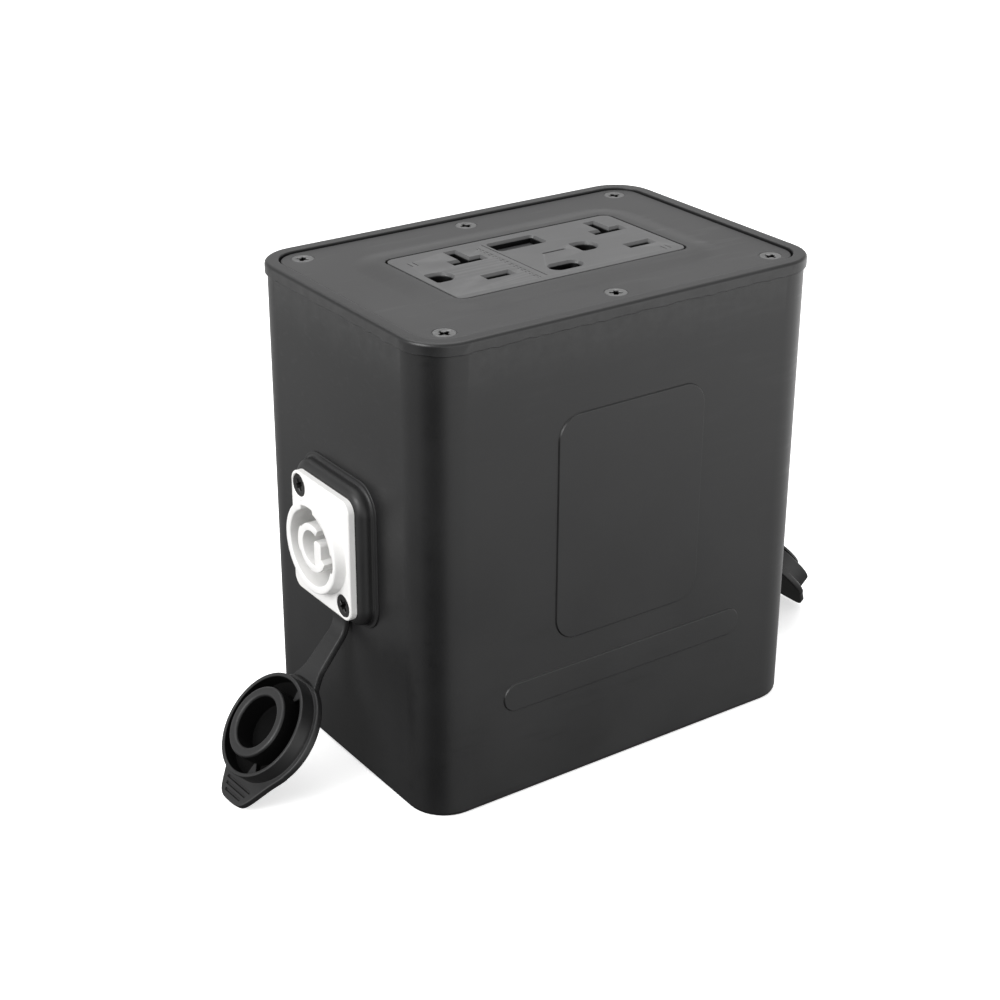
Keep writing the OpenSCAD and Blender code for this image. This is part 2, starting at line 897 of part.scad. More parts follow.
housing();
lid_gasket();
lid_inserts();
lid();
lid_screws();
receptacle_face();
receptacle_yoke();
yoke_screws();
receptacle_body();
contact_bus(hot_y, -1, 6.4);  // hot_contact_bus
contact_bus(neutral_y, 1, 6.4);  // neutral_contact_bus
ground_contact_bus();
terminal_screws();
shutter(outlet_x[0]);  // shutter_left
shutter(outlet_x[1]);  // shutter_right
shutter_spring(outlet_x[0]);  // shutter_spring_left
shutter_spring(outlet_x[1]);  // shutter_spring_right
usb_a_shell();
usb_a_tongue();
usb_c_shell();
usb_c_tongue();
usb_board();
usb_board_parts();
connector_gasket(0);  // outlet_gasket
connector_shell(0, white);  // outlet_shell
connector_core(0, white);  // outlet_core
connector_contacts(0);  // outlet_contacts
connector_screws(0);  // outlet_screws
connector_nuts(0);  // outlet_nuts
strap_upper(0);  // outlet_strap_upper
strap_lower(0);  // outlet_strap_lower
dust_cap(0);  // outlet_cap
connector_gasket(1);  // inlet_gasket
connector_shell(1, blue);  // inlet_shell
connector_core(1, blue);  // inlet_core
connector_contacts(1);  // inlet_contacts
connector_screws(1);  // inlet_screws
connector_nuts(1);  // inlet_nuts
strap_upper(1);  // inlet_strap_upper
strap_lower(1);  // inlet_strap_lower
dust_cap(1);  // inlet_cap
hot_wires();
neutral_wires();
ground_wires();
wire_terminals();
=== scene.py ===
import bmesh
import bpy
import numpy as np
from mathutils import Matrix, Vector, geometry


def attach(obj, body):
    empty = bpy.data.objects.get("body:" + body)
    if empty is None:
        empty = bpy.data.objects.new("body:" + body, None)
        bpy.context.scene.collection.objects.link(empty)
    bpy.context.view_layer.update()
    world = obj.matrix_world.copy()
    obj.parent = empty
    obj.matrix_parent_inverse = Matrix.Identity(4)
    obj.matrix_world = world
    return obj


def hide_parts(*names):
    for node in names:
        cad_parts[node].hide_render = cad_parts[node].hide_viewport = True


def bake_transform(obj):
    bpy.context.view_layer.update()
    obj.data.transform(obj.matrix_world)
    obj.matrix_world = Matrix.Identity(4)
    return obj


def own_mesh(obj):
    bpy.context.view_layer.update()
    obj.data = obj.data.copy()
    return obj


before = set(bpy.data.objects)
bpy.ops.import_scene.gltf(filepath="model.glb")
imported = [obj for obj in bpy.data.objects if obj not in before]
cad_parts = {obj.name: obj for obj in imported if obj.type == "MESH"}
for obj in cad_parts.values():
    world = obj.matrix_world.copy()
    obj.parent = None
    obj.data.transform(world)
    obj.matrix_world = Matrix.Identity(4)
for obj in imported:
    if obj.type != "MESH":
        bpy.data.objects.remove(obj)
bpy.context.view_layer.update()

# ==== Camera ====================================================================================
# A long lens on a tripod, to the left of the badge side and a little above the lid, turned a
# hair out of level. The aim is a point in the air just off the near left edge of the box.
LENS, SENSOR = 72.3, 36.0
AIM = Vector((-0.0388, -0.0402, 0.0812))
AIM_DISTANCE = 0.4462
AZIMUTH, ELEVATION, ROLL = (np.radians(a) for a in (-35.05, 25.17, 0.275))

turn = (Matrix.Rotation(AZIMUTH, 4, "Z") @ Matrix.Rotation(np.pi / 2 - ELEVATION, 4, "X")
        @ Matrix.Rotation(ROLL, 4, "Z"))
lens = bpy.data.cameras.new("camera")
lens.lens, lens.sensor_width = LENS, SENSOR
lens.clip_start, lens.clip_end = 0.01, 20.0
camera = bpy.data.objects.new("camera", lens)
camera.matrix_world = Matrix.Translation(AIM + turn.col[2].xyz * AIM_DISTANCE) @ turn
bpy.context.scene.collection.objects.link(camera)
bpy.context.scene.camera = camera
bpy.context.scene.view_settings.view_transform = "Standard"

# ==== Studio ====================================================================================
# A white sweep lit by one big overhead panel and a smaller one from the left, in a white room
# with a bright band at eye level that fades towards the floor. Three sides of the room are
# shaded; the one behind the camera is nearly black and darkens the near corner of the box.
FLOOR_SIZE = 3.0
FLOOR_WHITE, FLOOR_GLOW = (0.93, 0.93, 0.93), 0.60
ROOM_LIGHT, ROOM_LOW, ROOM_BAND = 0.72, 0.05, 1.5
LOW_EDGE, BAND_EDGE = (-0.56, -0.28), (0.0, 0.35)
SHADES = (((-0.73, -0.51, -0.45), 0.74, 0.98, 0.01), ((-0.60, 0.72, -0.35), 0.3, 0.9, 0.44),
          ((0.52, 0.74, 0.43), 0.5, 0.9, 0.70))
PANELS = (("overhead", (0.10, 0.35, 1.15), 1.3, 9.0), ("left", (-1.10, -0.10, 0.65), 0.7, 12.0))


class Value:
    """A node's output, for arithmetic: each operator adds the Math node of its own name."""

    def __init__(self, recipe, socket):
        self.recipe, self.socket = recipe, socket

    def math(self, operation, *terms):
        return self.recipe.node("Math", {"operation": operation}, dict(enumerate(terms)))

    def __add__(self, other):
        return self.math("ADD", self, other)

    def __mul__(self, other):
        return self.math("MULTIPLY", self, other)

    __radd__, __rmul__ = __add__, __mul__


class Recipe:
    """A node tree being written; node() is the one way that a node gets into it."""

    def __init__(self, tree):
        self.tree = tree
        tree.nodes.clear()

    def node(self, kind, settings=None, sockets=None, output=0):
        made = self.tree.nodes.new("ShaderNode" + kind)
        for key, value in (settings or {}).items():
            setattr(made, key, value)
        for key, value in (sockets or {}).items():
            if isinstance(value, Value):
                self.tree.links.new(value.socket, made.inputs[key])
            else:
                made.inputs[key].default_value = value
        return Value(self, made.outputs[output]) if len(made.outputs) else made

    def step(self, value, low, high, bottom=0.0, top=1.0):
        """Smooth step: bottom where value is below low, top where it is above high."""
        ends = {"From Min": low, "From Max": high, "To Min": bottom, "To Max": top}
        return self.node("MapRange", {"interpolation_type": "SMOOTHSTEP"}, {"Value": value, **ends})

    def blend(self, share, low, high):
        """Colour mix: low where share is 0, high where it is 1; both may be colours or links."""
        pair = [c if isinstance(c, Value) else (*c, 1.0) for c in (low, high)]
        return self.node("Mix", {"data_type": "RGBA"}, {0: share, 6: pair[0], 7: pair[1]}, 2)


room = bpy.data.worlds.new("room")
room.use_nodes = True
bpy.context.scene.world = room
recipe = Recipe(room.node_tree)
look = recipe.node("TexCoord", output=0)
height = recipe.node("SeparateXYZ", sockets={0: look}, output=2)
glow = (recipe.step(height, *LOW_EDGE, ROOM_LOW, 1.0)
        * recipe.step(height, *BAND_EDGE, 1.0 + ROOM_BAND, 1.0))
for side, start, full, left in SHADES:
    toward = recipe.node("VectorMath", {"operation": "DOT_PRODUCT"},
                         {0: look, 1: tuple(Vector(side).normalized())}, 1)
    glow = glow * recipe.step(toward, start, full, 1.0, left)
backdrop = recipe.node("Background", sockets={0: (1.0, 1.0, 1.0, 1.0), 1: glow * ROOM_LIGHT})
recipe.node("OutputWorld", sockets={0: backdrop})

for name, place, size, watts in PANELS:
    panel = bpy.data.lights.new(name, "AREA")
    panel.shape, panel.size, panel.energy = "SQUARE", size, watts
    lamp = bpy.data.objects.new(name, panel)
    aim = (Vector((0, 0, 0.06)) - Vector(place)).to_track_quat("-Z", "Y").to_matrix().to_4x4()
    lamp.matrix_world = Matrix.Translation(place) @ aim
    bpy.context.scene.collection.objects.link(lamp)


def new_material(name):
    """An empty material and the recipe that fills it."""
    made = bpy.data.materials.new(name)
    made.use_nodes = True
    return made, Recipe(made.node_tree)


def speckle(recipe, size, detail=2.0, stretch=(1, 1, 1)):
    """Noise from 0 to 1 whose grains are about `size` mm across, stretched along an axis."""
    where = recipe.node("TexCoord", output=3)
    scale = tuple(1000.0 / (size * s) for s in stretch)
    spread = recipe.node("Mapping", sockets={"Vector": where, "Scale": scale})
    return recipe.node("TexNoise", sockets={"Vector": spread, "Scale": 1.0, "Detail": detail})


def coat(recipe, colour, roughness, height=None, depth=0.0, **uniform):
    """Joins colour, roughness and a bump of `depth` mm over `height` into the surface output."""
    sockets = {"Base Color": colour, "Roughness": roughness, **uniform}
    if not isinstance(colour, Value):
        sockets["Base Color"] = (*colour, 1.0)
    if height is not None:
        bump = {"Height": height, "Distance": depth / 1000.0, "Strength": 1.0}
        sockets["Normal"] = recipe.node("Bump", sockets=bump)
    recipe.node("OutputMaterial", sockets={0: recipe.node("BsdfPrincipled", sockets=sockets)})


paper, recipe = new_material("studio_paper")
fibre = speckle(recipe, 1.5, 3.0)
coat(recipe, recipe.blend(fibre, FLOOR_WHITE, (0.95, 0.95, 0.95)), 0.9, fibre, 0.02,
     **{"Emission Color": (1.0, 1.0, 1.0, 1.0), "Emission Strength": FLOOR_GLOW})
half = FLOOR_SIZE / 2
sheet = bpy.data.meshes.new("floor")
sheet.from_pydata([(-half, -half, 0), (half, -half, 0), (half, half, 0), (-half, half, 0)], [],
                  [(0, 1, 2, 3)])
sheet.materials.append(paper)
floor = bpy.data.objects.new("floor", sheet)
floor.visible_glossy = floor.visible_diffuse = False
bpy.context.scene.collection.objects.link(floor)

# ==== Housing ===================================================================================
# The tub: one injection moulding in black glass-filled nylon, satin, with a proud rim band that
# ends in a rounded bead, a ledge inside for the lid, six screw bosses and a raised badge.
WALL_X, WALL_Y, WALL_R = 56.4, 38.3, 9.9
FOOT_R, WALL_ROWS = 1.3, (20, 60, 100)
BAND_LOW, BAND_PROUD = 117.0, 0.6
RIM_TOP, BEAD_OUT, BEAD_IN, RIM_W = 120.0, 0.85, 0.3, 3.4
LEDGE_TOP, LEDGE_T, LEDGE_X, LEDGE_Y, LEDGE_R = 115.5, 3.0, 49.0, 27.0, 5.0
WALL_T = 3.0
BOSS_R, BOSS_BORE, BOSS_H = 4.2, 2.3, 11.0
SCREW_X, SCREW_Y = 46.9, 30.5
PANEL, BAR = (21.25, 28.75, 6.0, 67.3), (36.0, 3.65, 3.6, 27.6)
RELIEF = 0.4
JAG, JAG_PITCH = 0.16, 1.1
HOUSING_DARK, HOUSING_LIGHT = (0.0085, 0.0085, 0.0088), (0.0125, 0.0125, 0.0128)


def rounded_rect(ax, ay, r, steps=8, centre=(0, 0)):
    """Counter-clockwise outline of a rectangle of half sides ax, ay: four quarter circles."""
    a = np.radians(np.linspace(0, 90, steps + 1))[None, :] + np.pi / 2 * np.arange(4)[:, None]
    corners = np.array([(1, 1), (-1, 1), (-1, -1), (1, -1)]) * (ax - r, ay - r)
    arcs = corners[:, None, :] + r * np.stack([np.cos(a), np.sin(a)], -1)
    return arcs.reshape(-1, 2) + centre


def circle(r, steps=48, centre=(0, 0)):
    """Counter-clockwise circle of radius r."""
    a = 2 * np.pi * np.arange(steps) / steps
    return r * np.stack([np.cos(a), np.sin(a)], -1) + centre


def refine(points, pitch):
    """The same outline with a point about every `pitch` along its straight sides."""
    ends = np.roll(points, -1, 0)
    count = np.maximum(1, np.round(np.linalg.norm(ends - points, axis=1) / pitch)).astype(int)
    start = np.repeat(np.arange(len(points)), count)
    share = (np.arange(len(start)) - np.repeat(np.cumsum(count) - count, count)) / count[start]
    return points[start] + share[:, None] * (ends - points)[start]


def rise(points, profile):
    """Carries a profile of (offset, height) round an outline. A point moves out along the mitre
    of its two edges, m = (n1 + n2) / (1 + n1.n2), so that every edge moves by the offset."""
    edge = np.roll(points, -1, 0) - points
    after = np.stack([edge[:, 1], -edge[:, 0]], -1)
    after /= np.linalg.norm(after, axis=1)[:, None]
    before = np.roll(after, 1, 0)
    mitre = (before + after) / (1 + (before * after).sum(1))[:, None]
    offset, height = np.array(profile, float).T
    flat = points[None] + offset[:, None, None] * mitre[None]
    return np.concatenate([flat, np.broadcast_to(height[:, None, None], flat[..., :1].shape)], 2)


def skin(grid):
    """Quads of a grid of points (rows, round, 3) that closes on itself along its second side."""
    rows, rounds = grid.shape[:2]
    at = np.arange(rows * rounds).reshape(rows, rounds)
    on = np.roll(at, -1, 1)
    quads = np.stack([at[:-1], on[:-1], on[1:], at[1:]], -1).reshape(-1, 4)
    return grid.reshape(-1, 3), quads.tolist()


def fill(*loops):
    """Triangles of the flat area inside the first loop and outside the others."""
    faces = geometry.tessellate_polygon([[Vector(p) for p in loop] for loop in loops])
    return np.concatenate(loops), [list(f) for f in faces]


def arc(offset, height, r, start, end, steps=5):
    """Profile points on a circle of radius r about (offset, height), from start to end degrees."""
    a = np.radians(np.linspace(start, end, steps + 1))
    return list(zip(offset + r * np.cos(a), height + r * np.sin(a)))


def tube(centre, r, bore, low, high, steps=32, edge=0.15):
    """A round tube with lightly broken edges, as one profile carried round a circle."""
    across = circle(r, steps, centre)
    wall = [(bore - r, high), (-edge, high), (0, high - edge), (0, low + edge), (-edge, low),
            (bore - r, low), (bore - r, high)]
    return skin(rise(across, wall))


def lift(part, place):
    """A part with each point p moved to place(x, y, z)."""
    points, faces = part
    return np.stack(place(*points.T), -1), faces


def build(name, parts, material, sharp=38.0):
    """Joins parts given in mm into one mesh in metres, with welded points and outward faces."""
    start = np.cumsum([0] + [len(points) for points, _ in parts])
    points = np.concatenate([points for points, _ in parts]) / 1000.0
    faces = [[i + s for i in f] for s, (_, part) in zip(start, parts) for f in part]
    mesh = bpy.data.meshes.new(name)
    mesh.from_pydata(points.tolist(), [], faces)
    work = bmesh.new()
    work.from_mesh(mesh)
    bmesh.ops.remove_doubles(work, verts=work.verts, dist=2e-6)
    bmesh.ops.recalc_face_normals(work, faces=work.faces)
    work.to_mesh(mesh)
    work.free()
    mesh.shade_smooth()
    mesh.set_sharp_from_angle(angle=np.radians(sharp))
    mesh.materials.append(material)
    made = bpy.data.objects.new(name, mesh)
    bpy.context.scene.collection.objects.link(made)
    even = made.modifiers.new("even_shading", "WEIGHTED_NORMAL")
    even.keep_sharp = True
    return made


def painted_recess_shade(recipe, colour, shade_below, patch):
    """Colour that turns nearly black below about the height given in mm: painted shade down in
    recesses and slots.
    """
    where = recipe.node("TexCoord", output=3)
    level = recipe.node("SeparateXYZ", sockets={0: where}, output=2) + patch * 0.0002
    unshaded = recipe.step(level, (shade_below - 0.35) / 1000.0, shade_below / 1000.0)
    return recipe.blend(unshaded, (0.002, 0.002, 0.002), colour)


def moulded(name, dark, light, rough, grain=0.5, depth=0.012, wear=0.0, worn=(0.2, 0.2, 0.2),
            shade_below=None, **uniform):
    """Moulded plastic: fine grain in the tool's surface, broad patches of tone, faint rub marks
    that change the gloss, and paler edges where `wear` is above 0. Painted shade, nearly black,
    below an optional height in mm."""
    made, recipe = new_material(name)
    patch = speckle(recipe, 22.0, 3.0)
    fine = speckle(recipe, grain, 3.0)
    rubbed = recipe.step(speckle(recipe, 3.0, 2.0, (6, 1, 0.5)), 0.55, 0.75)
    colour = recipe.blend(recipe.step(patch * 0.7 + fine * 0.3, 0.3, 0.7), dark, light)
    if wear:
        edge = recipe.step(recipe.node("NewGeometry", output=7), 0.52, 0.62)
        colour = recipe.blend(edge * speckle(recipe, 2.5, 4.0) * wear, colour, worn)
    # Painted shade in recesses: nearly black below the given height.
    if shade_below:
        colour = painted_recess_shade(recipe, colour, shade_below, patch)
    roughness = patch * 0.10 + rubbed * -0.06 + fine * 0.06 + (rough - 0.08)
    coat(recipe, colour, roughness, fine, depth, **uniform)
    return made


housing_plastic = moulded("housing_satin", HOUSING_DARK, HOUSING_LIGHT, 0.37, 0.35, 0.004, 0.35,
                          (0.10, 0.10, 0.10))
wall = refine(rounded_rect(WALL_X, WALL_Y, WALL_R, 10), JAG_PITCH)
band_edge = BAND_PROUD - BEAD_OUT
rim_in = BAND_PROUD - RIM_W
outer = (arc(-FOOT_R, FOOT_R, FOOT_R, -90, 0) + [(0, z) for z in (*WALL_ROWS, BAND_LOW - 0.6)]
         + [(0, BAND_LOW - 0.12), (0.12, BAND_LOW), (BAND_PROUD - 0.15, BAND_LOW),
            (BAND_PROUD, BAND_LOW + 0.15)]
         + arc(band_edge, RIM_TOP - BEAD_OUT, BEAD_OUT, 0, 90, 6)
         + arc(rim_in + BEAD_IN, RIM_TOP - BEAD_IN, BEAD_IN, 90, 180) + [(rim_in, LEDGE_TOP)])
shell = rise(wall, outer)
jags = np.random.default_rng(5).normal(size=len(wall))
jags = JAG * (0.6 * jags + 0.2 * (np.roll(jags, 1) + np.roll(jags, -1)))
lip = np.abs(shell[:, :, 2] - BAND_LOW) < 0.2
shell[:, :, 2] += np.where(lip, np.clip(jags, -0.3, 0.3), 0)
rim_loop = shell[-1]
inside = rise(rounded_rect(WALL_X - WALL_T, WALL_Y - WALL_T, WALL_R - WALL_T),
              [(0, LEDGE_TOP - LEDGE_T), (0, WALL_T + 1), (-1, WALL_T)])
hatch = rise(rounded_rect(LEDGE_X, LEDGE_Y, LEDGE_R),
             [(0.3, LEDGE_TOP), (0, LEDGE_TOP - 0.3), (0, LEDGE_TOP - LEDGE_T)])
tub = [skin(shell), skin(inside), skin(hatch), fill(shell[0]), fill(inside[-1]),
       fill(rim_loop, hatch[0]), fill(inside[0], hatch[-1])]
screw_spots = [(x * SCREW_X, y * SCREW_Y) for x in (-1, 0, 1) for y in (-1, 1)]
tub += [tube(spot, BOSS_R, BOSS_BORE, LEDGE_TOP - BOSS_H, LEDGE_TOP - 0.1) for spot in screw_spots]


def on_front(x, y, z):
    """Flat shape on the badge side: x stays, y becomes the height, z stands out of the wall."""
    return x, -(WALL_Y + z), y


for ax, ay, r, middle in (PANEL, BAR):
    badge = rise(rounded_rect(ax, ay, r, 10, (0, middle)),
                 [(0.25, -0.1), (0.16, 0.02), (0.05, 0.12), (0, RELIEF - 0.16),
                  (-0.05, RELIEF - 0.05), (-0.16, RELIEF)])
    tub += [lift(skin(badge), on_front), lift(fill(badge[-1]), on_front),
            lift(fill(badge[0]), on_front)]
housing = build("housing_tub", tub, housing_plastic)
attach(housing, "box")
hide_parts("housing")

# ==== Lid seal and inserts ======================================================================
# A flat black rubber seal lies on the ledge, and six brass inserts are pressed into the bosses.
RUBBER_DARK, RUBBER_LIGHT = (0.0075, 0.0075, 0.0078), (0.0120, 0.0120, 0.0122)
BRASS_DARK, BRASS_LIGHT = (0.52, 0.33, 0.10), (0.68, 0.46, 0.17)


def metal(name, dark, light, rough, grain=0.6, stretch=(8, 1, 1), tarnish=0.35, shade_below=None):
    """Metal with fine drawn lines along one axis and soft stains that dull it. Painted shade,
    nearly black, below an optional height in mm."""
    made, recipe = new_material(name)
    lines = speckle(recipe, grain, 4.0, stretch)
    stain = recipe.step(speckle(recipe, 5.0, 4.0), 0.5, 0.8) * tarnish
    colour = recipe.blend(stain, recipe.blend(lines, dark, light), dark)
    # Painted shade in recesses: nearly black below the given height.
    if shade_below:
        colour = painted_recess_shade(recipe, colour, shade_below, stain)
    coat(recipe, colour, lines * 0.12 + stain * 0.3 + (rough - 0.06), lines, 0.004, Metallic=1.0)
    return made


def dress(material, *nodes):
    """Gives carried-over pieces their material; their shape stays as it is."""
    for node in nodes:
        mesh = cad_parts[node].data
        mesh.materials.clear()
        mesh.materials.append(material)


rubber = moulded("black_rubber", RUBBER_DARK, RUBBER_LIGHT, 0.50, 0.25, 0.003, 0.25,
                 (0.035, 0.035, 0.036))
brass = metal("brass", BRASS_DARK, BRASS_LIGHT, 0.32)
dress(rubber, "lid_gasket")
dress(brass, "lid_inserts")

# ==== Lid =======================================================================================
# Grey moulded lid, sunk a little below the rim, with a broad soft rise around the receptacle
# opening and six countersunk holes. The screws clamp it on the seal.
LID_X, LID_Y, LID_R = 53.2, 35.1, 6.7
LID_LOW, LID_TOP, CROWN_TOP = 116.5, 119.5, 120.2
OPEN_X, OPEN_Y, OPEN_R = 33.6, 16.8, 2.8
CROWN_OUT, CROWN_IN = 8.0, 1.2
SINK_R, HOLE_R = 2.7, 1.7
LID_DARK, LID_LIGHT = (0.020, 0.020, 0.0204), (0.031, 0.031, 0.0314)


def sink(centre, top, low, head, hole, depth=1.6, steps=40):
    """Wall of a countersunk hole, from the flat at `top` down to `low`."""
    return rise(circle(head, steps, centre),
                [(0.25, top), (0.08, top - 0.05), (0, top - 0.2), (hole - head, top - depth),
                 (hole - head, low)])


def slope(start, end, steps=12):
    """Profile of a smooth S-shaped ramp between two (offset, height) points."""
    t = np.linspace(0, 1, steps + 1)
    ease = t * t * (3 - 2 * t)
    return list(zip(start[0] + t * (end[0] - start[0]), start[1] + ease * (end[1] - start[1])))


lid_plastic = moulded("lid_satin", LID_DARK, LID_LIGHT, 0.46, 0.30, 0.005, 0.3,
                      (0.12, 0.12, 0.12))
edge = rise(refine(rounded_rect(LID_X, LID_Y, LID_R, 12), 2.0),
            [(0, LID_LOW), (0, LID_TOP - 0.4)] + arc(-0.4, LID_TOP - 0.4, 0.4, 0, 90))
crown = rise(rounded_rect(OPEN_X, OPEN_Y, OPEN_R, 12),
             slope((CROWN_OUT, LID_TOP), (CROWN_IN, CROWN_TOP))
             + arc(0.15, CROWN_TOP - 0.15, 0.15, 90, 180, 3) + [(0, LID_LOW)])
sinks = [sink(spot, LID_TOP, LID_LOW, SINK_R, HOLE_R) for spot in screw_spots]
lid = build("lid_plate", [skin(edge), skin(crown), *map(skin, sinks),
                          fill(edge[-1], crown[0], *(s[0] for s in sinks)),
                          fill(edge[0], crown[-1], *(s[-1] for s in sinks))], lid_plastic, 50.0)
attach(lid, "box")
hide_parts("lid")

# ==== Lid screws ================================================================================
# Six countersunk cross-head screws, plain steel, turned home by hand: no two crosses line up.
HEAD_R, HEAD_H, SHANK_R, SCREW_L, HEAD_FACE = 2.7, 1.5, 1.5, 9.6, 119.45
CROSS_ARM, CROSS_TIP, CROSS_ROOT = 1.55, 0.42, 0.62
THREAD = 0.5
STEEL_DARK, STEEL_LIGHT = (0.15, 0.15, 0.15), (0.25, 0.25, 0.25)


def screw(head, head_h, shank, length, angle):
    """Countersunk cross-head screw with its face at height 0: rolled shank, dished head and a
    tapering recess, turned by `angle` degrees."""
    shaft = [(shank - head, -head_h)]
    for low in np.arange(head_h + 0.4, length - 0.6, THREAD):
        shaft += [(shank - head, -low), (shank - head - 0.2, -low - THREAD / 2)]
    side = rise(circle(head, 40), [(-0.3, -0.02), (-0.1, 0), (0, -0.09), (0, -0.2), *shaft,
                                   (shank - head - 0.5, -length)])
    corners = [(CROSS_ARM, -CROSS_TIP), (CROSS_ARM, CROSS_TIP), (CROSS_ROOT, CROSS_ROOT)]
    cross = []
    for quarter in np.radians(angle + np.arange(4) * 90):
        c, s = np.cos(quarter), np.sin(quarter)
        cross += [(x * c - y * s, x * s + y * c) for x, y in corners]
    recess = rise(np.array(cross), [(0.08, -0.07), (0, -0.14), (-0.16, -head_h * 0.75)])
    return [skin(side), skin(recess), fill(side[0], recess[0]), fill(side[-1]), fill(recess[-1])]


# Just below the head's face the steel is painted nearly black: painted shade in the cross recesses.
screw_steel = metal("screw_steel", STEEL_DARK, STEEL_LIGHT, 0.42, 0.5, (1, 1, 1), 0.5,
                    HEAD_FACE - 0.15)
turns = np.random.default_rng(11).uniform(0, 90, len(screw_spots))
heads = []
for (cx, cy), angle in zip(screw_spots, turns):
    heads += [lift(part, lambda x, y, z: (x + cx, y + cy, z + HEAD_FACE))
              for part in screw(HEAD_R, HEAD_H, SHANK_R, SCREW_L, angle)]
lid_screws = build("lid_cross_screws", heads, screw_steel)
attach(lid_screws, "box")
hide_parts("lid_screws")

# ==== Receptacle ================================================================================
# The face is a lighter grey moulding that carries two outlets and two charging sockets, held in
# the lid's opening by the yoke behind it. Each slot has a sloping lead-in. The rating text is
# replaced by a row of plain dashes, and the other marks by short bars.
FACE_X, FACE_Y, FACE_R = 33.1, 16.3, 2.4
FACE_LOW, FACE_TOP = 115.9, 120.2
OUTLETS = (-16.3, 25.5)
POCKET, POCKET_TOP = (-6.4, -12.6, 7.4, 15.1), 117.9
BLADE_SLOT, EARTH_HOLE = (-3.5, -8.2, 3.5, -5.8), (-12, -1, 2.85)
PORTS = ((6.7, 3.0, 0.8, 5, (0.8, 9.9)), (4.3, 2.2, 2.15, 8, (0.75, -10.2)))
LEAD_IN, PORT_LEAD_IN = 0.55, 0.5
RULE_X, RULE_LOW, RULE_HIGH = -7.2, -13.8, 13.3
DASH_X, DASH_LOW, DASH_HIGH = -9.2, -14.2, 10.6
ENGRAVED = 0.25
BARS = ((-29.6, 10.1), (-28.2, 10.1), (28.2, -12.8), (29.6, -12.8))
SYMBOL_BAR = (4.6, -0.4, 3.4, 0.35)
FACE_DARK, FACE_LIGHT = (0.066, 0.066, 0.067), (0.084, 0.084, 0.085)
SHUTTER_DARK, SHUTTER_LIGHT = (0.003, 0.003, 0.003), (0.006, 0.006, 0.006)


def box_loop(x0, y0, x1, y1):
    """Counter-clockwise rectangle."""
    return np.array([(x0, y0), (x1, y0), (x1, y1), (x0, y1)], float)


def opening(outline, lead, low):
    """Wall of an opening in the face: a sloping lead-in, then straight down to `low`."""
    return rise(outline, [(lead, FACE_TOP), (lead - 0.1, FACE_TOP - 0.05), (0.05, FACE_TOP - 0.55),
                          (0, FACE_TOP - 0.65), (0, low)])


def engraving(outline):
    """A shallow groove in the face, with its floor."""
    wall = rise(outline, [(0.04, FACE_TOP), (-0.02, FACE_TOP - ENGRAVED)])
    return wall, [skin(wall), fill(wall[-1])]


# Below the lead-ins the face is painted nearly black: painted shade down the slots, pockets and
# sockets, and on the rim's sides.
face_plastic = moulded("face_satin", FACE_DARK, FACE_LIGHT, 0.40, 0.25, 0.004, 0.3,
                       (0.24, 0.24, 0.24), FACE_TOP - 0.55)
rim = rise(rounded_rect(FACE_X, FACE_Y, FACE_R, 10),
           [(0, FACE_LOW), (0, FACE_TOP - 0.2)] + arc(-0.2, FACE_TOP - 0.2, 0.2, 0, 90, 4))
tee = np.array([(-4.35, 4.5), (4.35, 4.5), (4.35, 6.9), (1.25, 6.9), (1.25, 13.2), (-1.25, 13.2),
                (-1.25, 6.9), (-4.35, 6.9)])
pin = np.array(arc(*EARTH_HOLE, -90, 90, 30)
               + [(-14.2, 1.85), (-14.4, 1.65), (-14.4, -3.65), (-14.2, -3.85)])
top_holes, low_holes, face_parts = [], [], [skin(rim)]
for x0 in OUTLETS:
    pocket = rise(box_loop(*POCKET) + (x0, 0), [(0, POCKET_TOP), (0, FACE_LOW)])
    slots = [opening(loop + (x0, 0), LEAD_IN, POCKET_TOP)
             for loop in (box_loop(*BLADE_SLOT), tee)]
    earth = opening(pin + (x0, 0), LEAD_IN, FACE_LOW)
    face_parts += [skin(pocket), *map(skin, slots), skin(earth),
                   fill(pocket[0], *(s[-1] for s in slots))]
    top_holes += [s[0] for s in slots] + [earth[0]]
    low_holes += [pocket[-1], earth[-1]]
for shape in PORTS:
    port = opening(rounded_rect(*shape), PORT_LEAD_IN, FACE_LOW)
    face_parts.append(skin(port))
    top_holes.append(port[0])
    low_holes.append(port[-1])
marks = [rounded_rect(0.15, (RULE_HIGH - RULE_LOW) / 2, 0.14, 3,
                      (RULE_X, (RULE_HIGH + RULE_LOW) / 2))]
marks += [rounded_rect(0.14, 1.3, 0.13, 3, spot) for spot in BARS]
marks.append(rounded_rect(SYMBOL_BAR[2], SYMBOL_BAR[3], 0.34, 5, SYMBOL_BAR[:2]))
spread = np.random.default_rng(3)
dash_y = DASH_LOW
while dash_y < DASH_HIGH:
    length = spread.uniform(0.6, 1.5)
    marks.append(rounded_rect(0.12, length / 2, 0.11, 3, (DASH_X, dash_y + length / 2)))
    marks.append(rounded_rect(0.12, length / 3, 0.11, 3, (DASH_X - 0.7, dash_y + length / 2)))
    dash_y += length + spread.uniform(0.4, 0.9)
for outline in marks:
    groove, parts = engraving(outline)
    face_parts += parts
    top_holes.append(groove[0])
face_parts += [fill(rim[-1], *top_holes), fill(rim[0], *low_holes)]
face = build("receptacle_front", face_parts, face_plastic, 25.0)
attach(face, "box")
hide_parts("receptacle_face")

